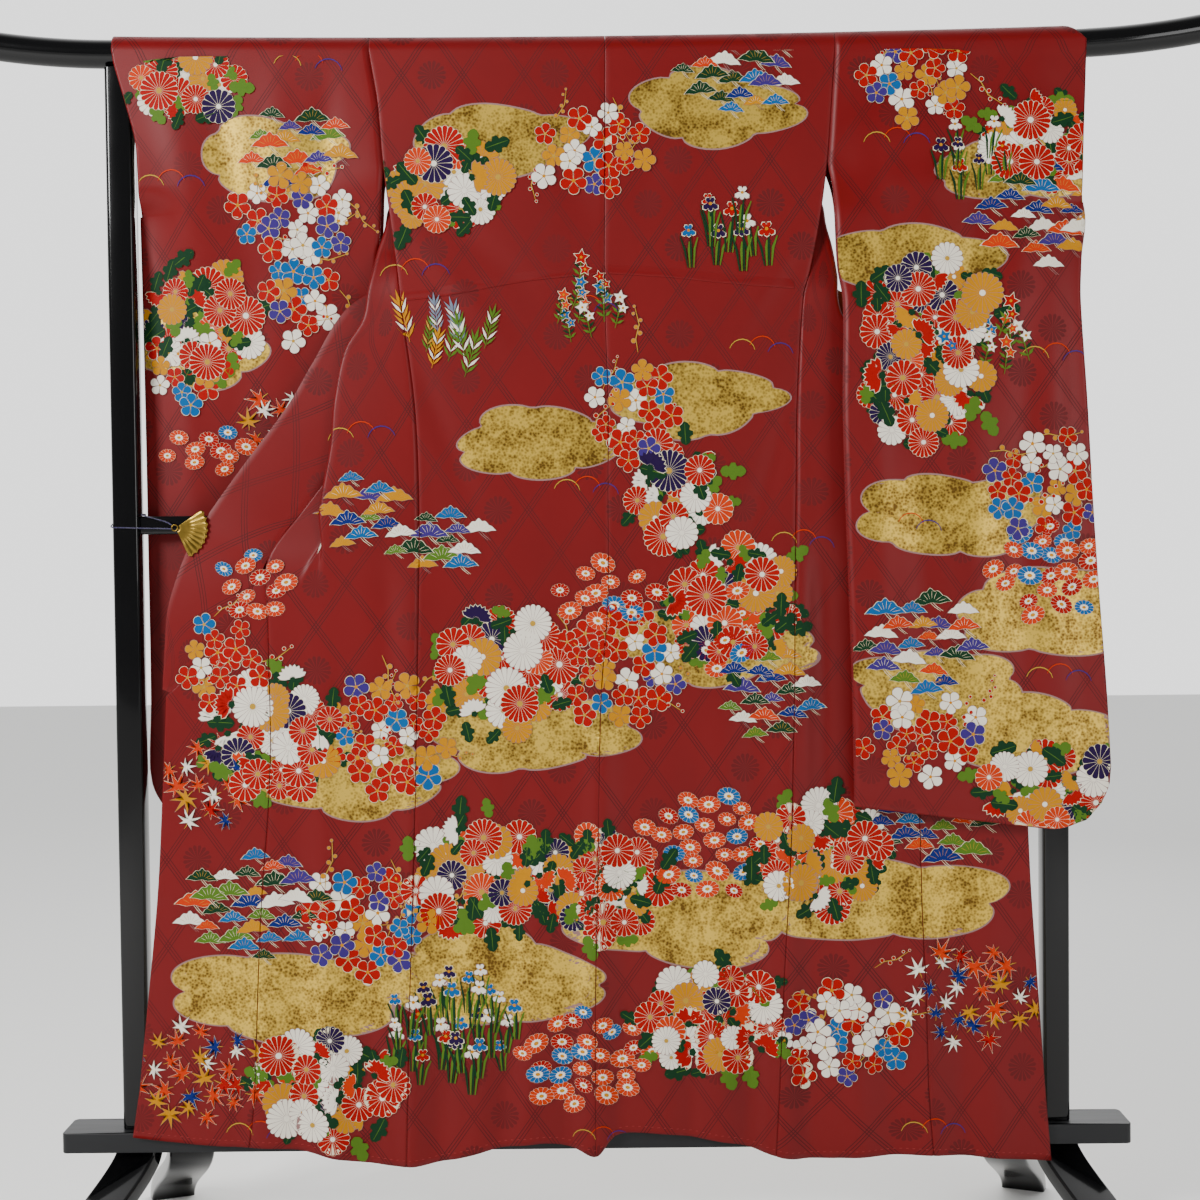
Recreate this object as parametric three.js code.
// A furisode, the long-sleeved kimono of a young woman, hung on a lacquered kimono stand with its
// back to the viewer and both front panels swung out to the sides.
// Millimetres. X runs along the stand, Y away from the viewer, Z up from the floor.
// Every sheet of cloth is a wall of even thickness on a grid of points: the grid is the outer face
// of the silk, and the lining is made from the same points, moved in behind the silk.
import * as THREE from 'three'

// ---- Driving dimensions -------------------------------------------------------------------
const SEAM_GAP = 0.3 // between pieces that are sewn or fitted together
const SILK_WALL = 1.2
const LINING_GAP = 0.45
const LINING_WALL = 1
const COLLAR_WALL = 3

const RAIL_RADIUS = 20
const RAIL_AXIS_Z = 1680
const RAIL_HALF_LENGTH = 925
const RAIL_SWEEP_FROM = 680
const POST = { x: 658, width: 38, depth: 36 }
const MIDDLE_RAIL = { bottom: 1008, top: 1034, depth: 20 }
const BASE_BOARD = { halfLength: 760, depth: 72, bottom: 130, top: 158 }
const LEG = { width: 64, thickness: 24, reach: 172, splay: 0.39 }
const LEG_TOPS = { front: 655, rear: 583 }

const CLOTH_OVER_RAIL = RAIL_RADIUS + 4.6 // outer face of the silk where it bends over the rail
const ARMHOLE_BOTTOM = 1521
const SIDE_SEAM_TOP = 1366
const CUFF_BOTTOM = 1458

const COLOURS = {
  silk: 0x8e1a1f,
  lining: 0xcfc6b5,
  lacquer: 0x0a0a0c,
  board: 0x2a2b2e,
  clip: 0xa88a35,
  cord: 0x2a1a6a
}

// ---- Tables: where the seams and edges of the hung garment run, by height --------------------
// Widths of the back panels: the centre seam and the two side seams.
const BACK = [
  { z: 100, centre: -1, left: -268, right: 253 },
  { z: 345, centre: 1, left: -261, right: 265 },
  { z: 560, centre: 7, left: -252, right: 278 },
  { z: 768, centre: 13, left: -246, right: 285 },
  { z: 909, centre: 24, left: -242, right: 287 },
  { z: 1053, centre: 26, left: -240, right: 290 },
  { z: 1190, centre: 27, left: -245, right: 293 },
  { z: 1333, centre: 24, left: -263, right: 303 },
  { z: 1366, centre: 24, left: -266, right: 312 },
  { z: 1440, centre: 25, left: -275, right: 327 },
  { z: 1521, centre: 26, left: -285, right: 338 },
  { z: 1610, centre: 27, left: -292, right: 345 },
  { z: 1680, centre: 28, left: -303, right: 350 },
  { z: 1720, centre: 28, left: -306, right: 352 }
]

// A front panel, measured outward from its side seam: the fold that turns it back on itself, the
// inner fold that turns it out again, and the seam to the overlap (above the overlap, the collar).
// edge, side, back and out say how far its side edge and its three stretches lie behind the
// hung surface of the back panel.
const FRONT = [
  { z: 1680, fold: -30, turn: -200, seam: -233, edge: 49, side: 49, back: 49, out: 49 },
  { z: 1640, fold: -25, turn: -200, seam: -229, edge: 49, side: 49, back: 49, out: 49 },
  { z: 1580, fold: -15, turn: -200, seam: -218, edge: 48, side: 48, back: 49, out: 49 },
  { z: 1521, fold: -5, turn: -200, seam: -204, edge: 46, side: 45, back: 49, out: 52 },
  { z: 1480, fold: 3, turn: -198, seam: -188, edge: 33, side: 33, back: 43, out: 53 },
  { z: 1441, fold: 9, turn: -195, seam: -172, edge: 20, side: 20, back: 31, out: 43 },
  { z: 1402, fold: 25, turn: -158, seam: -130, edge: 12, side: 11, back: 22, out: 33 },
  { z: 1354, fold: 42, turn: -112, seam: -90, edge: 0, side: 2, back: 13, out: 24 },
  { z: 1308, fold: 56, turn: -72, seam: -48, edge: 0, side: 1, back: 11, out: 21 },
  { z: 1265, fold: 88, turn: -36, seam: -8, edge: 0, side: 0, back: 10, out: 20 },
  { z: 1194, fold: 112, turn: 33, seam: 48, edge: 0, side: -2, back: 8, out: 17 },
  { z: 1134, fold: 121, turn: 70, seam: 90, edge: 0, side: -3, back: 7, out: 16 },
  { z: 1037, fold: 140, turn: 117, seam: 168, edge: 0, side: -4, back: 6, out: 14 },
  { z: 973, fold: 141, turn: 130, seam: 213, edge: 0, side: -4, back: 1, out: 6 },
  { z: 900, fold: 140, turn: 140, seam: 213, edge: 0, side: 0, back: 0, out: 0 },
  { z: 700, fold: 130, turn: 140, seam: 205, edge: 0, side: 0, back: 0, out: 0 },
  { z: 490, fold: 120, turn: 140, seam: 213, edge: 0, side: 0, back: 0, out: 0 },
  { z: 220, fold: 120, turn: 140, seam: 216, edge: 0, side: 0, back: 0, out: 0 },
  { z: 100, fold: 110, turn: 140, seam: 222, edge: 0, side: 0, back: 0, out: 0 }
]
// The right front panel hangs a little narrower than the left one.
const RIGHT_NARROWER = [
  { z: 1134, by: 0 }, { z: 1037, by: 16 }, { z: 973, by: 32 }, { z: 900, by: 36 }, { z: 700, by: 30 },
  { z: 490, by: 26 }, { z: 345, by: 13 }, { z: 100, by: 0 }
]

// The collar below the neck, measured outward from the side seam: its seam to the body, down to the
// overlap's tip, then its seam to the overlap, and its free edge. depth is the free edge's depth.
const COLLAR = [
  { seam: -8, seamZ: 1265, free: 82, freeZ: 1322, depth: -8 },
  { seam: 48, seamZ: 1194, free: 138, freeZ: 1249, depth: -12 },
  { seam: 90, seamZ: 1134, free: 180, freeZ: 1189, depth: -16 },
  { seam: 168, seamZ: 1037, free: 250, freeZ: 1102, depth: -20 },
  { seam: 190, seamZ: 1005, free: 278, freeZ: 1064, depth: -25 },
  { seam: 213, seamZ: 973, free: 303, freeZ: 1028, depth: -29 },
  { seam: 224, seamZ: 950, free: 320, freeZ: 1001, depth: -30.5 },
  { seam: 237, seamZ: 925, free: 333, freeZ: 972, depth: -31.5 },
  { seam: 252, seamZ: 900, free: 343, freeZ: 943, depth: -33.5 },
  { seam: 281, seamZ: 860, free: 354, freeZ: 900, depth: -36 },
  { seam: 309, seamZ: 825, free: 357, freeZ: 847, depth: -38 },
  { seam: 348, seamZ: 785, free: 359, freeZ: 790, depth: -39 }
]

// The outer edge of each overlap below the collar's end.
const OVERLAP_EDGE = [
  { z: 100, left: -656, right: 643 },
  { z: 226, left: -645, right: 634 },
  { z: 380, left: -628, right: 624 },
  { z: 508, left: -615, right: 616 },
  { z: 640, left: -607, right: 611 },
  { z: 775, left: -600, right: 606 }
]

// The height of the hem along the stand.
const HEM = [
  { x: -660, z: 156 }, { x: -560, z: 144 }, { x: -433, z: 137 }, { x: -334, z: 118 },
  { x: -261, z: 112 }, { x: -207, z: 120 }, { x: -136, z: 137 }, { x: -73, z: 143 },
  { x: -30, z: 136 }, { x: 1, z: 126 }, { x: 26, z: 152 }, { x: 76, z: 156 }, { x: 146, z: 148 },
  { x: 203, z: 138 }, { x: 252, z: 123 }, { x: 287, z: 117 }, { x: 471, z: 121 }, { x: 645, z: 110 }
]

// The largest soft folds of the hung cloth: where each stands at the hem and where it runs out.
const FOLDS = [
  { hemX: -470, topX: -440, topZ: 760, width: 30, depth: 7 },
  { hemX: -372, topX: -385, topZ: 960, width: 24, depth: 10 },
  { hemX: -262, topX: -244, topZ: 1250, width: 22, depth: 9 },
  { hemX: -172, topX: -110, topZ: 1120, width: 30, depth: 8 },
  { hemX: -98, topX: -50, topZ: 900, width: 26, depth: 10 },
  { hemX: -4, topX: 26, topZ: 1300, width: 30, depth: 13 },
  { hemX: 92, topX: 110, topZ: 820, width: 30, depth: 6 },
  { hemX: 176, topX: 190, topZ: 1150, width: 26, depth: 8 },
  { hemX: 262, topX: 292, topZ: 1290, width: 26, depth: 11 },
  { hemX: 372, topX: 352, topZ: 900, width: 28, depth: 8 },
  { hemX: 474, topX: 458, topZ: 820, width: 28, depth: 8 },
  { hemX: 566, topX: 548, topZ: 700, width: 26, depth: 7 }
]

// The sleeves: their inner and outer edges, the middle depth between their two layers and the
// width of the space between them. The rear layer's outer edge has its own column.
const LEFT_SLEEVE = [
  { z: 1720, inner: -306, outer: -670, rear: -670, middle: 0, space: 48 },
  { z: 1680, inner: -303, outer: -664, rear: -664, middle: 0, space: 48 },
  { z: 1610, inner: -292, outer: -645, rear: -645, middle: 0, space: 48 },
  { z: 1560, inner: -288, outer: -633, rear: -633, middle: 1, space: 48 },
  { z: 1521, inner: -285, outer: -631, rear: -631, middle: 2, space: 46 },
  { z: 1480, inner: -288, outer: -631, rear: -631, middle: 4, space: 43 },
  { z: 1441, inner: -291, outer: -632, rear: -632, middle: 9, space: 38 },
  { z: 1354, inner: -300, outer: -633, rear: -633, middle: 17, space: 26 },
  { z: 1265, inner: -315, outer: -633, rear: -633, middle: 20, space: 22 },
  { z: 1134, inner: -326, outer: -633, rear: -633, middle: 23, space: 18 },
  { z: 1000, inner: -330, outer: -633, rear: -633, middle: 24, space: 18 },
  { z: 771, inner: -333, outer: -633, rear: -633, middle: 24, space: 18 },
  { z: 684, inner: -334, outer: -636, rear: -636, middle: 24, space: 18 },
  { z: 580, inner: -336, outer: -634, rear: -634, middle: 24, space: 18 }
]
const RIGHT_SLEEVE = [
  { z: 1720, inner: 352, outer: 704, rear: 634, middle: 0, space: 48 },
  { z: 1680, inner: 350, outer: 702, rear: 633, middle: 0, space: 48 },
  { z: 1610, inner: 345, outer: 699, rear: 631, middle: -5, space: 44 },
  { z: 1560, inner: 341, outer: 696, rear: 630, middle: -13, space: 38 },
  { z: 1521, inner: 338, outer: 694, rear: 630, middle: -21, space: 30 },
  { z: 1490, inner: 343, outer: 692, rear: 632, middle: -32, space: 18 },
  { z: 1458, inner: 346, outer: 691, rear: 691, middle: -35, space: 17 },
  { z: 1372, inner: 349, outer: 686, rear: 686, middle: -44, space: 16 },
  { z: 1323, inner: 356, outer: 684, rear: 684, middle: -48, space: 16 },
  { z: 1181, inner: 354, outer: 691, rear: 691, middle: -56, space: 16 },
  { z: 1042, inner: 356, outer: 697, rear: 697, middle: -62, space: 16 },
  { z: 931, inner: 359, outer: 703, rear: 703, middle: -66, space: 16 },
  { z: 764, inner: 363, outer: 714, rear: 714, middle: -71, space: 16 },
  { z: 580, inner: 364, outer: 722, rear: 722, middle: -75, space: 16 }
]
const SLEEVE_BOTTOM = { left: { inner: 604, outer: 586 }, right: { inner: 622, outer: 588 } }
const SLEEVE_CORNER_RADIUS = 84

// ---- Small helpers ---------------------------------------------------------------------------
const mix = (a, b, t) => a + (b - a) * t
const clamp = (v, low, high) => Math.min(high, Math.max(low, v))
const ease = (low, high, v) => {
  const t = clamp((v - low) / (high - low), 0, 1)
  return t * t * (3 - 2 * t)
}

// Reads a column of a table at a value of its key column: a cubic curve through the rows.
function read(table, column, at, key = 'z') {
  const rows = table[0][key] < table[table.length - 1][key] ? table : [...table].reverse()
  const last = rows.length - 1
  const v = clamp(at, rows[0][key], rows[last][key])
  let i = 0
  while (i < last - 1 && v > rows[i + 1][key]) i++
  const slope = k => {
    const a = rows[Math.max(k - 1, 0)]
    const b = rows[Math.min(k + 1, last)]
    return (b[column] - a[column]) / (b[key] - a[key])
  }
  const span = rows[i + 1][key] - rows[i][key]
  const t = (v - rows[i][key]) / span
  return (2 * t ** 3 - 3 * t ** 2 + 1) * rows[i][column] + (t ** 3 - 2 * t ** 2 + t) * span * slope(i) +
    (3 * t ** 2 - 2 * t ** 3) * rows[i + 1][column] + (t ** 3 - t ** 2) * span * slope(i + 1)
}

// How far the folds push the hung cloth forward at a place.
function foldDepth(x, z) {
  let depth = 0
  for (const fold of FOLDS) {
    const down = clamp((fold.topZ - z) / (fold.topZ - 110), 0, 1)
    const middle = mix(fold.topX, fold.hemX, down)
    depth += fold.depth * ease(0, 1, down) * Math.exp(-(((x - middle) / fold.width) ** 2))
  }
  return depth
}

// The depth of the surface that all the hung panels share below the side seams' tops.
const BACK_DEPTH = [
  { z: 100, y: -47 }, { z: 490, y: -42 }, { z: 900, y: -36 }, { z: 1333, y: -29 }, { z: 1680, y: -24 }
]
const hungDepth = (x, z) => read(BACK_DEPTH, 'y', z) - foldDepth(x, z)

// The height of the rail's axis: level over most of its length, then swept up to its tips.
function railAxis(x) {
  const beyond = Math.max(Math.abs(x) - RAIL_SWEEP_FROM, 0)
  const within = Math.min(Math.abs(x), RAIL_SWEEP_FROM) / RAIL_SWEEP_FROM
  return RAIL_AXIS_Z + 7 * within ** 2 + 0.02 * beyond + 0.00042 * beyond ** 2
}

// A point of the silk over the rail, at an angle from the rail's front.
function overRail(x, degrees) {
  const angle = THREE.MathUtils.degToRad(degrees)
  const z = railAxis(x) + CLOTH_OVER_RAIL * Math.sin(angle)
  return new THREE.Vector3(x, -CLOTH_OVER_RAIL * Math.cos(angle), z)
}

// Triangles of a grid whose rows all have the same number of points.
// turned is true where the rows and columns would otherwise face the triangles inward.
function gridTriangles(rowCount, columnCount, turned, first = 0) {
  const triangles = []
  for (let i = 0; i + 1 < rowCount; i++) {
    for (let j = 0; j + 1 < columnCount; j++) {
      const a = first + i * columnCount + j
      const b = a + columnCount
      const quad = turned ? [[a, a + 1, b], [b, a + 1, b + 1]] : [[a, b, a + 1], [b, b + 1, a + 1]]
      triangles.push(...quad)
    }
  }
  return triangles
}

// A closed wall on an open sheet: its outer face lies near behind the points and its inner face
// far behind them, along the sheet's own normals, and a rim closes it all round.
// The points in level keep their thickness square to X, so that sewn edges stay side by side.
function wall(points, triangles, near, far, level = new Set()) {
  const normals = points.map(() => new THREE.Vector3())
  const ab = new THREE.Vector3()
  const ac = new THREE.Vector3()
  for (const [a, b, c] of triangles) {
    ab.subVectors(points[b], points[a])
    ac.subVectors(points[c], points[a])
    const facing = ab.cross(ac).normalize()
    for (const k of [a, b, c]) normals[k].add(facing)
  }
  const used = new Map()
  const positions = []
  for (const k of level) normals[k].x = 0
  const place = (k, depth) => {
    const p = points[k].clone().addScaledVector(normals[k].clone().normalize(), -depth)
    positions.push(p.x, p.y, p.z)
  }
  for (const triangle of triangles) for (const k of triangle) if (!used.has(k)) used.set(k, used.size)
  for (const k of used.keys()) place(k, near)
  for (const k of used.keys()) place(k, far)
  const inner = used.size
  const index = []
  const edges = new Set()
  for (const triangle of triangles) {
    const [a, b, c] = triangle.map(k => used.get(k))
    index.push(a, b, c, a + inner, c + inner, b + inner)
    for (const [p, q] of [[a, b], [b, c], [c, a]]) edges.add(`${p},${q}`)
  }
  for (const edge of edges) {
    const [p, q] = edge.split(',').map(Number)
    if (!edges.has(`${q},${p}`)) index.push(q, p, p + inner, q, p + inner, q + inner)
  }
  const geometry = new THREE.BufferGeometry()
  geometry.setAttribute('position', new THREE.Float32BufferAttribute(positions, 3))
  geometry.setIndex(index)
  geometry.computeVertexNormals()
  return geometry
}

const furisodeOnStand = new THREE.Group()

function addPiece(name, geometry, colour, roughness, metalness = 0) {
  const material = new THREE.MeshStandardMaterial({ color: colour, roughness, metalness })
  const mesh = new THREE.Mesh(geometry, material)
  mesh.name = name
  furisodeOnStand.add(mesh)
  return mesh
}

// The silk of a piece and, where it has one, the lining that lies inside it.
function addCloth(name, points, triangles, lined, level) {
  addPiece(name, wall(points, triangles, 0, SILK_WALL, level), COLOURS.silk, 0.55)
  if (!lined) return
  const near = SILK_WALL + LINING_GAP
  addPiece(`${name}_lining`, wall(points, triangles, near, near + LINING_WALL, level), COLOURS.lining, 0.7)
}

// ---- Body panels: each runs in one length from the back hem over the rail to the front hem -----
const BACK_LEVELS = [220, 490, 700, 900, 1037, 1194, 1354, 1441, 1521, 1580, 1640]
const RAIL_ANGLES = [0, 45, 90, 135] // from the front of the rail, over its top
const BETWEEN_LEVELS = [1500, 1460, 1005] // where the folds form and run out
const FRONT_LEVELS = [...FRONT.map(row => row.z), ...BETWEEN_LEVELS]
  .filter(z => z < RAIL_AXIS_Z && z > 100)
  .sort((a, b) => b - a)
const NECK_COLUMNS = 3
const FRONT_SHARES = [0, 0.3, 0.6, 0.625, 0.65, 0.675, 0.72, 0.77, 0.79, 0.81, 0.83, 0.91, 1]
const NECK_HALF_WIDTH = 98

// A width of a front panel, outward from its side seam.
function frontReach(side, column, z) {
  const less = side === 'right' ? read(RIGHT_NARROWER, 'by', z) : 0
  return read(FRONT, column, z) - less * (column === 'seam' ? 1 : 0.6)
}

// One row of a front panel: side seam, out to the fold, back to the inner fold, out to the seam.
// Every row has the same number of points; where the panel hangs flat they are spread evenly.
const FIRST_TURN_POINT = 7
const SEAM_LEVELS = [100, ...BACK_LEVELS, RAIL_AXIS_Z]
// The back panel's side edge, straight between its rows, so that the front lies edge to edge with it.
function sideEdge(side, z) {
  const i = clamp(SEAM_LEVELS.findIndex(height => height >= z), 1, SEAM_LEVELS.length - 1)
  const [low, high] = [SEAM_LEVELS[i - 1], SEAM_LEVELS[i]]
  const [lowX, highX] = [low, high].map(height => read(BACK, side, height))
  const t = (z - low) / (high - low)
  return [mix(lowX, highX, t), mix(hungDepth(lowX, Math.max(low, 110)), hungDepth(highX, high), t)]
}

function frontRow(side, z, hem) {
  const sign = side === 'left' ? -1 : 1
  const gap = z < SIDE_SEAM_TOP ? SEAM_GAP : 0
  const [x0, hung] = sideEdge(side, z)
  const [fold, turn, seam] = ['fold', 'turn', 'seam'].map(column => frontReach(side, column, z))
  const [edge, nearest, back, out] = ['edge', 'side', 'back', 'out'].map(column => hung + read(FRONT, column, z))
  const below = ease(905, 1037, z)
  const sideFolded = ease(1640, 1450, z) * below
  const turnFolded = ease(1530, 1441, z) * below
  const bend = (reach, depth, radius, k, away) => [
    reach + away * Math.abs(radius) * Math.sin(k * Math.PI / 3), depth + radius * (1 - Math.cos(k * Math.PI / 3))]
  const shape = [
    [0, edge],
    [fold / 2, mix(edge, nearest, 0.7)],
    ...[0, 1, 2, 3].map(k => bend(fold - 4, nearest, (back - nearest) / 2, k, 1)),
    [mix(fold, turn, 0.35), back],
    ...[0, 1, 2, 3].map(k => bend(turn + 4, back, (out - back) / 2, k, -1)),
    [mix(turn, seam, 0.6), out],
    [seam, out]
  ]
  const spread = ease(905, 700, z) * 0.7 + ease(1450, 1640, z)
  return shape.map(([reach, depth], j) => {
    const folded = j < FIRST_TURN_POINT ? sideFolded : turnFolded
    const even = mix(FRONT_SHARES[j], j / (shape.length - 1), spread)
    const x = x0 + sign * (gap + mix(seam * even, reach, folded))
    const flat = z > 1200 ? mix(edge, out, even) : hungDepth(x, hem ? 110 : z)
    return new THREE.Vector3(x, mix(flat, depth, folded), hem ? read(HEM, 'z', x, 'x') : z)
  })
}

function bodyPanel(side) {
  const sign = side === 'left' ? -1 : 1
  const frontColumns = FRONT_SHARES.length
  const columns = NECK_COLUMNS + frontColumns
  // Across the back: the columns to the neck, then the columns that carry on into the front.
  const across = z => {
    const centre = read(BACK, 'centre', z) + sign * SEAM_GAP / 2
    const edge = read(BACK, side, z)
    const neck = centre + sign * NECK_HALF_WIDTH * Math.abs(edge - centre) / 331
    const inner = Array.from({ length: NECK_COLUMNS }, (_, j) => mix(centre, neck, j / NECK_COLUMNS))
    const outer = Array.from({ length: frontColumns }, (_, j) => mix(neck, edge, j / (frontColumns - 1)))
    return [...inner, ...outer]
  }
  const points = []
  const backRow = (z, hem) => across(z).map(x => new THREE.Vector3(x, hungDepth(x, hem ? 110 : z),
    hem ? read(HEM, 'z', x, 'x') : z))
  points.push(...backRow(100, true))
  for (const z of BACK_LEVELS) points.push(...backRow(z, false))
  for (const degrees of RAIL_ANGLES) {
    for (const x of across(RAIL_AXIS_Z)) points.push(overRail(x, degrees))
  }
  const backRows = 1 + BACK_LEVELS.length + RAIL_ANGLES.length
  const triangles = gridTriangles(backRows, columns, side === 'right')
  // Behind the rail only the columns outside the neck go on.
  const firstFront = points.length
  const behind = across(RAIL_AXIS_Z).slice(NECK_COLUMNS)
  for (const x of behind) points.push(new THREE.Vector3(x, CLOTH_OVER_RAIL, railAxis(x)))
  for (const z of FRONT_LEVELS) points.push(...frontRow(side, z, false).reverse())
  points.push(...frontRow(side, 100, true).reverse())
  const frontRows = FRONT_LEVELS.length + 2
  triangles.push(...gridTriangles(frontRows, frontColumns, side === 'right', firstFront))
  const lastBack = (backRows - 1) * columns + NECK_COLUMNS
  for (let j = 0; j + 1 < frontColumns; j++) {
    const a = lastBack + j
    const b = firstFront + j
    const quad = side === 'right' ? [[a, a + 1, b], [b, a + 1, b + 1]] : [[a, b, a + 1], [b, b + 1, a + 1]]
    triangles.push(...quad)
  }
  const level = new Set()
  const frontEdge = []
  for (let i = 0; i < backRows; i++) level.add(i * columns).add((i + 1) * columns - 1)
  for (let i = 0; i < frontRows; i++) {
    const first = firstFront + i * frontColumns
    const last = first + frontColumns - 1
    if (points[first].z < ARMHOLE_BOTTOM - 100 || points[first].z > ARMHOLE_BOTTOM) level.add(first)
    if (points[last].z < SIDE_SEAM_TOP || points[last].z >= ARMHOLE_BOTTOM) level.add(last)
    frontEdge.push(points[first])
  }
  return { points, triangles, level, frontEdge }
}

// The front edges that the collar and the overlaps are sewn to, from the neck down to the hem.
const frontEdges = {}
for (const side of ['left', 'right']) {
  const { points, triangles, level, frontEdge } = bodyPanel(side)
  addCloth(`${side}_body`, points, triangles, true, level)
  frontEdges[side] = frontEdge
}

// The place on a front edge at a height, a seam's gap outside it.
function besideFront(side, z) {
  const edge = frontEdges[side]
  const i = clamp(edge.findIndex(point => point.z <= z), 1, edge.length - 1)
  const upper = edge[i - 1]
  const lower = edge[i]
  const place = lower.clone().lerp(upper, (z - lower.z) / (upper.z - lower.z))
  place.x += side === 'left' ? -SEAM_GAP : SEAM_GAP
  return place
}

// ---- Overlaps: the narrow panel sewn to the front edge of each front panel ----------------------
const COLLAR_END = 785
const OVERLAP_LEVELS = [950, 925, 900, 860, 825, COLLAR_END, 700, 490, 220]
const OVERLAP_COLUMNS = 5

// The collar's seam: along the front panel's edge down to the overlap's tip, then on the overlap.
function collarSeam(side, z) {
  if (z >= 973) return besideFront(side, z)
  const sign = side === 'left' ? -1 : 1
  const less = side === 'right' ? read(RIGHT_NARROWER, 'by', z) : 0
  const x = read(BACK, side, z) + sign * (read(COLLAR, 'seam', z, 'seamZ') - less)
  return new THREE.Vector3(x, hungDepth(x, z) + 4 * ease(925, 973, z), z)
}

for (const side of ['left', 'right']) {
  const sign = side === 'left' ? -1 : 1
  const rows = OVERLAP_LEVELS.map(z => {
    const inner = besideFront(side, z)
    const outer = z >= COLLAR_END ? collarSeam(side, z) : new THREE.Vector3(read(OVERLAP_EDGE, side, z), 0, z)
    if (z >= COLLAR_END) outer.x -= sign * SEAM_GAP
    return Array.from({ length: OVERLAP_COLUMNS }, (_, j) => {
      const share = j / (OVERLAP_COLUMNS - 1)
      const x = mix(inner.x, outer.x, share)
      const depth = z > 900 ? mix(inner.y, outer.y, share) : hungDepth(x, z)
      return new THREE.Vector3(x, depth, z)
    })
  })
  const hemInner = frontEdges[side][frontEdges[side].length - 1].x + sign * SEAM_GAP
  rows.push(Array.from({ length: OVERLAP_COLUMNS }, (_, j) => {
    const x = mix(hemInner, read(OVERLAP_EDGE, side, 130), j / (OVERLAP_COLUMNS - 1))
    return new THREE.Vector3(x, hungDepth(x, 110), read(HEM, 'z', x, 'x'))
  }))
  const level = new Set(rows.flatMap((_, i) => [i * OVERLAP_COLUMNS, (i + 1) * OVERLAP_COLUMNS - 1]))
  addCloth(`${side}_overlap`, rows.flat(), gridTriangles(rows.length, OVERLAP_COLUMNS, side === 'left'), true, level)
}

// ---- Collar: one long band, round the neck and down both front edges ------------------------------
const COLLAR_SHARES = [0, 1 / 3, 2 / 3, 1]
// The neck stretch, from the centre of the back to where the band lies flat beside the front panel.
// Each row gives the seam's place and how far the band's three further points stand from it.
const COLLAR_NECK = [
  { out: 0, z: 1695.8, y: 19, x1: 0, x2: 0, x3: 0, y1: 9, y2: 11, y3: 12, z1: -18, z2: -36, z3: -54 },
  { out: 60, z: 1695.8, y: 19, x1: 3, x2: 6, x3: 8, y1: 9, y2: 11, y3: 12, z1: -18, z2: -36, z3: -54 },
  { out: 94, z: 1681, y: 26, x1: 13, x2: 26, x3: 38, y1: 3, y2: 5, y3: 6, z1: -12, z2: -24, z3: -36 },
  { out: 97, z: 1640, y: 25, x1: 16, x2: 33, x3: 48, y1: 3, y2: 6, y3: 8, z1: 0, z2: 0, z3: 0 },
  { out: 101, z: 1580, y: 25, x1: 20, x2: 32, x3: 16, y1: 5, y2: 14, y3: 23, z1: 0, z2: 2, z3: 4 },
  { out: 110, z: 1521, y: 25, x1: 8, x2: -14, x3: -40, y1: 13, y2: 21, y3: 22, z1: 3, z2: 9, z3: 14 },
  { out: 114, z: 1500, y: 24, x1: -2, x2: -26, x3: -51, y1: 12, y2: 18, y3: 21, z1: 4, z2: 11, z3: 19 },
  { out: 118, z: 1480, y: 22, x1: -12, x2: -38, x3: -62, y1: 9, y2: 14, y3: 18, z1: 6, z2: 14, z3: 24 },
  { out: 123, z: 1460, y: 18, x1: -17, x2: -43, x3: -69, y1: 6, y2: 10, y3: 15, z1: 8, z2: 18, z3: 29 },
  { out: 129, z: 1441, y: 14, x1: -22, x2: -48, x3: -75, y1: 3, y2: 7, y3: 12, z1: 10, z2: 21, z3: 34 },
  { out: 165, z: 1402, y: 5, x1: -24, x2: -48, x3: -72, y1: 4, y2: 8, y3: 13, z1: 16, z2: 33, z3: 50 },
  { out: 201, z: 1354, y: -4, x1: -24, x2: -48, x3: -72, y1: 3, y2: 6, y3: 10, z1: 18, z2: 36, z3: 55 },
  { out: 243, z: 1308, y: -9, x1: -24, x2: -48, x3: -72, y1: 2, y2: 4, y3: 7, z1: 19, z2: 38, z3: 57 }
]
const NECK_COLLAR_LIFT = 1.6

function collarRows(side) {
  const sign = side === 'left' ? -1 : 1
  const neck = COLLAR_NECK.map(row => {
    const start = new THREE.Vector3(read(BACK, 'centre', row.z) + sign * row.out, row.y, row.z)
    if (row.z < 1660) start.copy(besideFront(side, row.z))
    // Above the inner fold the band lies on the neck's side of the front edge.
    if (row.z > 1441 && row.z < 1660) start.x -= 2 * sign * SEAM_GAP
    if (row.z === 1480 || row.z === 1460) start.y += NECK_COLLAR_LIFT
    if (row.z === 1441) start.x += sign * NECK_COLLAR_LIFT
    return [0, 1, 2, 3].map(k => k === 0 ? start : new THREE.Vector3(
      start.x - sign * row[`x${k}`], start.y + row[`y${k}`], row.z + row[`z${k}`]))
  })
  const front = COLLAR.map(row => {
    const less = side === 'right' ? read(RIGHT_NARROWER, 'by', row.seamZ) : 0
    const start = collarSeam(side, row.seamZ)
    const freeX = read(BACK, side, row.freeZ) + sign * (row.free - less)
    const free = new THREE.Vector3(freeX, row.depth, row.freeZ)
    return COLLAR_SHARES.map(share => start.clone().lerp(free, share))
  })
  return [...neck, ...front]
}

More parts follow.
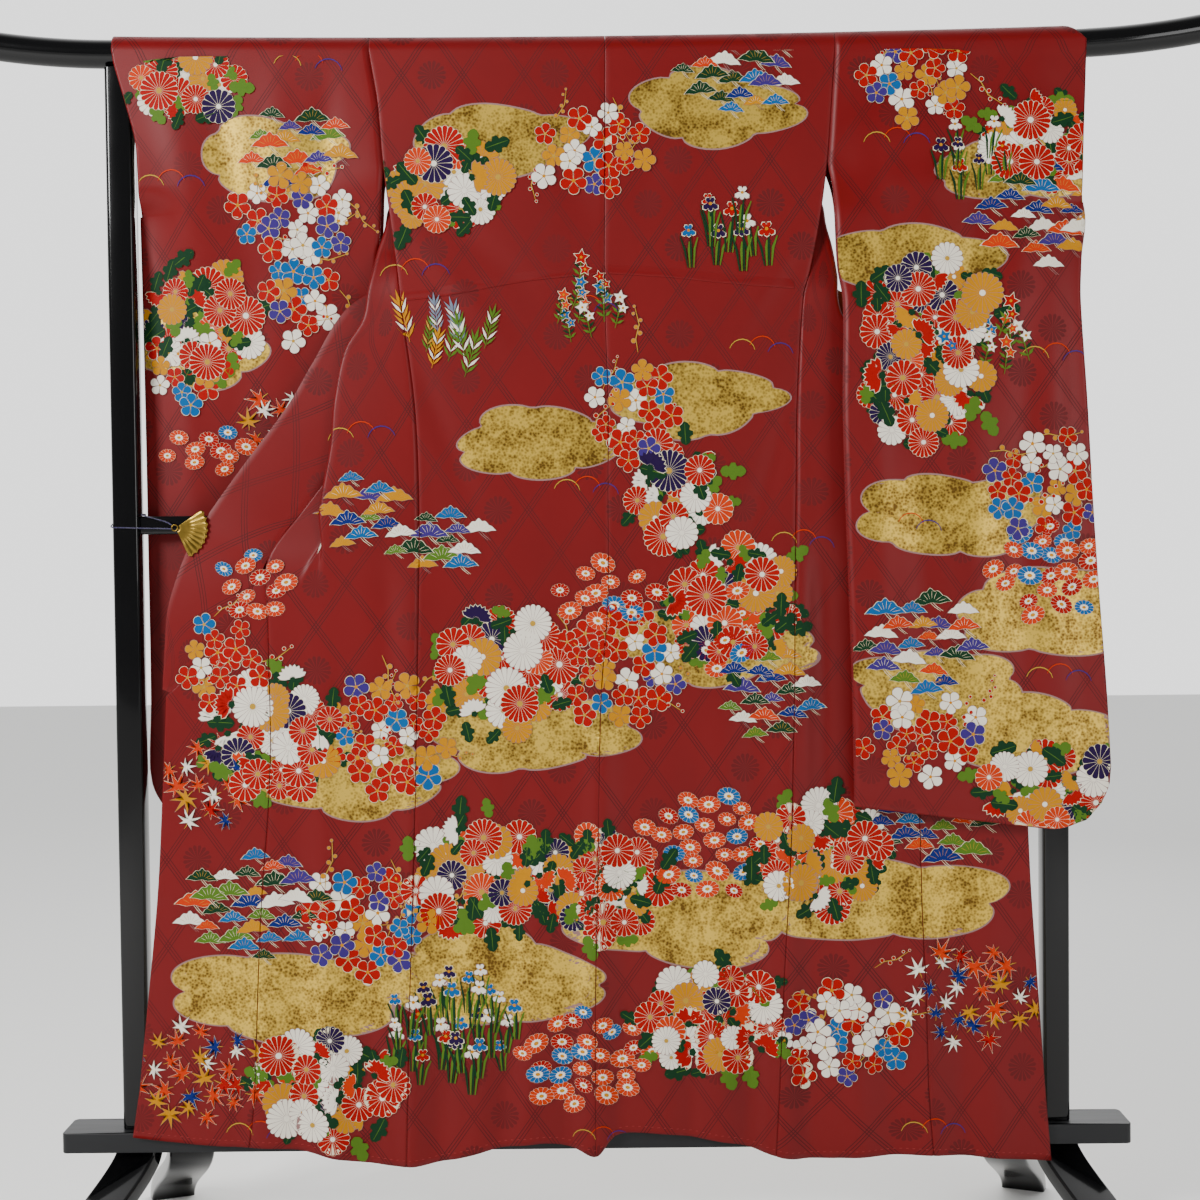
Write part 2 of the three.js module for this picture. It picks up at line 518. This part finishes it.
const collarGrid = [...collarRows('left').reverse(), ...collarRows('right').slice(1)]
const collarSeamPoints = new Set(collarGrid.map((_, i) => i * COLLAR_SHARES.length))
const collarTriangles = gridTriangles(collarGrid.length, COLLAR_SHARES.length, false)
addPiece('collar', wall(collarGrid.flat(), collarTriangles, 0, COLLAR_WALL, collarSeamPoints), COLOURS.silk, 0.55)

// ---- Sleeves: each is folded over the rail, sewn along its outer edge below the cuff and along the
// bottom, and open at the cuff and all down its inner edge -----------------------------------------
const SLEEVE_LEVELS = [1640, 1580, 1521, 1490, CUFF_BOTTOM, 1400, 1323, 1200, 1080, 960, 840]
const SLEEVE_LOWER_STEPS = [0.25, 0.5, 0.75, 1] // between the lowest level and the bottom
const SLEEVE_SHARES = [0, 0.16, 0.32, 0.48, 0.64, 0.76, 0.86, 0.93, 0.975, 1]

function sleeve(side) {
  const sign = side === 'left' ? -1 : 1
  const table = side === 'left' ? LEFT_SLEEVE : RIGHT_SLEEVE
  const bottom = SLEEVE_BOTTOM[side]
  const columns = SLEEVE_SHARES.length
  const lowest = SLEEVE_LEVELS[SLEEVE_LEVELS.length - 1]
  // The bottom edge: straight, then a quarter round up to the outer edge.
  const bottomZ = share => {
    const inner = read(table, 'inner', 600)
    const outer = read(table, 'outer', 640)
    const x = mix(inner, outer, share)
    const intoCorner = SLEEVE_CORNER_RADIUS - Math.abs(outer - x)
    const straight = mix(bottom.inner, bottom.outer, Math.min(Math.abs(x - inner) / 270, 1))
    if (intoCorner <= 0) return straight
    const rise = SLEEVE_CORNER_RADIUS - Math.sqrt(Math.max(SLEEVE_CORNER_RADIUS ** 2 - intoCorner ** 2, 0))
    return straight + rise
  }
  const point = (z, share, rear) => {
    const inner = z < ARMHOLE_BOTTOM ? read(table, 'inner', z) : read(BACK, side, z)
    const outer = read(table, rear ? 'rear' : 'outer', z)
    const x = mix(inner, outer, share) + sign * SEAM_GAP * (1 - share)
    const fromInner = Math.abs(x - inner)
    const attached = ease(1440, 1525, z) * (1 - ease(0, 90, fromInner))
    const fromSeam = Math.min(z - bottomZ(share), z < CUFF_BOTTOM ? Math.abs(outer - x) : 1000)
    const closing = z < CUFF_BOTTOM + 1 ? ease(0, 70, Math.max(fromSeam, 0)) : 1
    const cuffEnd = z < CUFF_BOTTOM + 1 ? 1 : 1 - (1 - ease(0, 70, Math.abs(outer - x))) * ease(1490, CUFF_BOTTOM, z)
    const space = mix(6, read(table, 'space', z), Math.min(closing, cuffEnd))
    const free = read(table, 'middle', z) + (rear ? space : -space) / 2
    const hung = hungDepth(inner, z)
    const bodySide = rear ? hung + read(FRONT, 'edge', z) : hung
    return new THREE.Vector3(x, mix(free, bodySide, attached), z)
  }
  const layer = rear => {
    const rows = SLEEVE_LEVELS.map(z => SLEEVE_SHARES.map(share => point(z, share, rear)))
    for (const step of SLEEVE_LOWER_STEPS) {
      rows.push(SLEEVE_SHARES.map(share => {
        const end = bottomZ(share)
        return point(mix(lowest, end, step), share, rear)
      }))
    }
    return rows
  }
  const front = layer(false)
  const rear = layer(true)
  const over = [0, 45, 90, 135, 180].map(degrees => {
    const outer = mix(read(table, 'outer', RAIL_AXIS_Z), read(table, 'rear', RAIL_AXIS_Z), degrees / 180)
    const inner = read(BACK, side, RAIL_AXIS_Z) + sign * SEAM_GAP
    return SLEEVE_SHARES.map(share => overRail(mix(inner, outer, share), degrees))
  })
  const strip = [...[...front].reverse(), ...over, ...rear]
  const points = strip.flat()
  const triangles = gridTriangles(strip.length, columns, side === 'right')
  // The bottom seam and the outer seam: a narrow turn between the two layers.
  const at = (row, column) => row * columns + column
  const lastRow = strip.length - 1
  const cuffRow = SLEEVE_LEVELS.indexOf(CUFF_BOTTOM)
  const seamPairs = []
  for (let j = 0; j < columns; j++) seamPairs.push([at(0, j), at(lastRow, j)])
  for (let i = 1; i <= front.length - 1 - cuffRow; i++) {
    seamPairs.push([at(i, columns - 1), at(lastRow - i, columns - 1)])
  }
  const firstTurn = points.length
  seamPairs.forEach(([a, b], k) => {
    const before = points[seamPairs[Math.max(k - 1, 0)][0]]
    const after = points[seamPairs[Math.min(k + 1, seamPairs.length - 1)][0]]
    const run = after.clone().sub(before)
    const outward = new THREE.Vector3(sign * run.z, 0, -Math.abs(run.x)).setY(0).normalize()
    points.push(points[a].clone().add(points[b]).multiplyScalar(0.5).addScaledVector(outward, 3))
  })
  for (let k = 0; k + 1 < seamPairs.length; k++) {
    const [a, b] = seamPairs[k]
    const [nextA, nextB] = seamPairs[k + 1]
    const turn = firstTurn + k
    const quads = [[a, nextA, turn + 1], [a, turn + 1, turn], [turn, turn + 1, nextB], [turn, nextB, b]]
    for (const [p, q, r] of quads) triangles.push(side === 'right' ? [p, r, q] : [p, q, r])
  }
  const level = new Set(strip.map((_, i) => i * columns))
  return { points, triangles, strip, columns, level }
}

const CUFF_FACING_COLUMNS = 4

for (const side of ['left', 'right']) {
  const { points, triangles, strip, columns, level } = sleeve(side)
  addCloth(`${side}_sleeve`, points, triangles, false, level)
  // The lining shows in the open cuff: the last columns, from the cuff's bottom over the rail.
  const below = SLEEVE_LEVELS.length - 1 - SLEEVE_LEVELS.indexOf(CUFF_BOTTOM) + SLEEVE_LOWER_STEPS.length + 1
  const rows = strip.slice(below, strip.length - below).map(row => row.slice(columns - CUFF_FACING_COLUMNS))
  const near = SILK_WALL + LINING_GAP
  const facing = gridTriangles(rows.length, CUFF_FACING_COLUMNS, side === 'right')
  addPiece(`${side}_sleeve_lining`, wall(rows.flat(), facing, near, near + LINING_WALL), COLOURS.lining, 0.7)
}

// ---- The stand ----------------------------------------------------------------------------------
function roundedRectangle(width, height, radius) {
  const shape = new THREE.Shape()
  const w = width / 2
  const h = height / 2
  shape.moveTo(-w + radius, -h)
  shape.lineTo(w - radius, -h)
  shape.absarc(w - radius, -h + radius, radius, -Math.PI / 2, 0)
  shape.lineTo(w, h - radius)
  shape.absarc(w - radius, h - radius, radius, 0, Math.PI / 2)
  shape.lineTo(-w + radius, h)
  shape.absarc(-w + radius, h - radius, radius, Math.PI / 2, Math.PI)
  shape.lineTo(-w, -h + radius)
  shape.absarc(-w + radius, -h + radius, radius, Math.PI, Math.PI * 1.5)
  return shape
}

const bar = (width, height, radius, length) => new THREE.ExtrudeGeometry(roundedRectangle(width, height, radius),
  { depth: length, bevelEnabled: false, curveSegments: 3 })

class RailPath extends THREE.Curve {
  getPoint(t, target = new THREE.Vector3()) {
    const x = mix(-RAIL_HALF_LENGTH, RAIL_HALF_LENGTH, t)
    return target.set(x, 0, railAxis(x))
  }
}
const railSection = new THREE.Shape()
railSection.absarc(0, 0, RAIL_RADIUS, 0, Math.PI * 2)
addPiece('top_rail', new THREE.ExtrudeGeometry(railSection,
  { extrudePath: new RailPath(), steps: 26, curveSegments: 8, bevelEnabled: false }), COLOURS.lacquer, 0.12)

for (const [side, sign] of [['left', -1], ['right', 1]]) {
  const bottom = BASE_BOARD.top + SEAM_GAP
  const top = railAxis(POST.x) - RAIL_RADIUS - SEAM_GAP - 0.2
  const post = addPiece(`${side}_post`, bar(POST.width, POST.depth, 6, top - bottom), COLOURS.lacquer, 0.12)
  post.position.set(sign * POST.x, 0, bottom)
}

const middleLength = 2 * POST.x - POST.width - 2 * SEAM_GAP
const middleHeight = MIDDLE_RAIL.top - MIDDLE_RAIL.bottom
const middleRail = addPiece('middle_rail', bar(middleHeight, MIDDLE_RAIL.depth, 4, middleLength), COLOURS.lacquer, 0.12)
middleRail.rotation.y = Math.PI / 2
middleRail.position.set(-middleLength / 2, 0, (MIDDLE_RAIL.bottom + MIDDLE_RAIL.top) / 2)

const boardHeight = BASE_BOARD.top - BASE_BOARD.bottom
const board = addPiece('base_board', bar(BASE_BOARD.halfLength * 2, BASE_BOARD.depth, 8, boardHeight), COLOURS.board, 0.4)
board.position.z = BASE_BOARD.bottom

// A leg is a bent plate: down out of the board, out to the side and down again to a flat foot.
class LegPath extends THREE.Curve {
  getPoint(t, target = new THREE.Vector3()) {
    const top = BASE_BOARD.bottom - SEAM_GAP
    const out = ease(0, 1, t)
    return target.set(0, -3 - LEG.reach * out, top * (1 - t))
  }
}
const legSection = roundedRectangle(LEG.width, LEG.thickness, 4)
for (const [row, facing] of [['front', 1], ['rear', -1]]) {
  for (const [side, sign] of [['left', -1], ['right', 1]]) {
    const leg = addPiece(`${row}_${side}_leg`, new THREE.ExtrudeGeometry(legSection,
      { extrudePath: new LegPath(), steps: 12, curveSegments: 1, bevelEnabled: false }), COLOURS.lacquer, 0.12)
    leg.rotation.z = facing > 0 ? sign * LEG.splay : Math.PI - sign * LEG.splay
    leg.position.x = sign * LEG_TOPS[row]
  }
}

// ---- Fan clips: each nips the collar's edge and is tied to its post with a thin cord ----------------
const CLIP = {
  left: 583, right: 597, y: -31.9, z: 1017, radius: 46, thickness: 2.4, ribs: 9, opening: 1.75, turn: -0.28
}
const CORD_RADIUS = 1.1
const CORD_EYE = 5.8 // from a clip's pivot to its cord's ends, just clear of its tail

function fan() {
  const outline = new THREE.Shape()
  const from = CLIP.turn - CLIP.opening / 2
  const step = CLIP.opening / (CLIP.ribs * 2)
  outline.moveTo(-5, -5)
  for (let k = 0; k <= CLIP.ribs * 2; k++) {
    const angle = from + k * step
    const radius = CLIP.radius - (k % 2 === 0 ? 2.2 : 0)
    outline.lineTo(radius * Math.cos(angle), radius * Math.sin(angle))
  }
  outline.lineTo(-5, 5)
  return new THREE.ExtrudeGeometry(outline, { depth: CLIP.thickness, bevelEnabled: false })
}

// The cord's way: from the clip across the post's front, round behind it and back over the middle rail.
const halfPost = POST.width / 2
const outside = POST.x + halfPost
const CORD_ROUTE = [
  [630, -23.5, 1017], [660, -19.8, 1018], [674, -19.7, 1018.6], [outside + 1.6, -16, 1020],
  [outside + 1.7, 0, 1025], [outside + 1.6, 16, 1030], [673, 19.8, 1032], [646, 19.9, 1035.2],
  [637.4, 17, 1036.6], [637, 8, 1037], [636.4, -8, 1036.6], [630, -19, 1034.6]
]

for (const [side, sign] of [['left', -1], ['right', 1]]) {
  const clip = addPiece(`${side}_clip`, fan(), COLOURS.clip, 0.35, 0.9)
  clip.rotation.x = Math.PI / 2
  if (side === 'right') clip.rotation.y = Math.PI
  clip.position.set(sign * CLIP[side], CLIP.y - (side === 'right' ? CLIP.thickness : 0), CLIP.z)
  const eye = CLIP[side] + CORD_EYE
  const tail = CLIP.y - 0.9
  const route = [[eye, tail, 1015.5], [eye + 9, -30, 1016], ...CORD_ROUTE, [eye + 10, -30, 1026], [eye, tail, 1021]]
  const path = new THREE.CatmullRomCurve3(route.map(([x, y, z]) => new THREE.Vector3(sign * x, y, z)))
  const section = new THREE.Shape()
  section.absarc(0, 0, CORD_RADIUS, 0, Math.PI * 2)
  addPiece(`${side}_cord`, new THREE.ExtrudeGeometry(section,
    { extrudePath: path, steps: 44, curveSegments: 3, bevelEnabled: false }), COLOURS.cord, 0.8)
}

export default furisodeOnStand
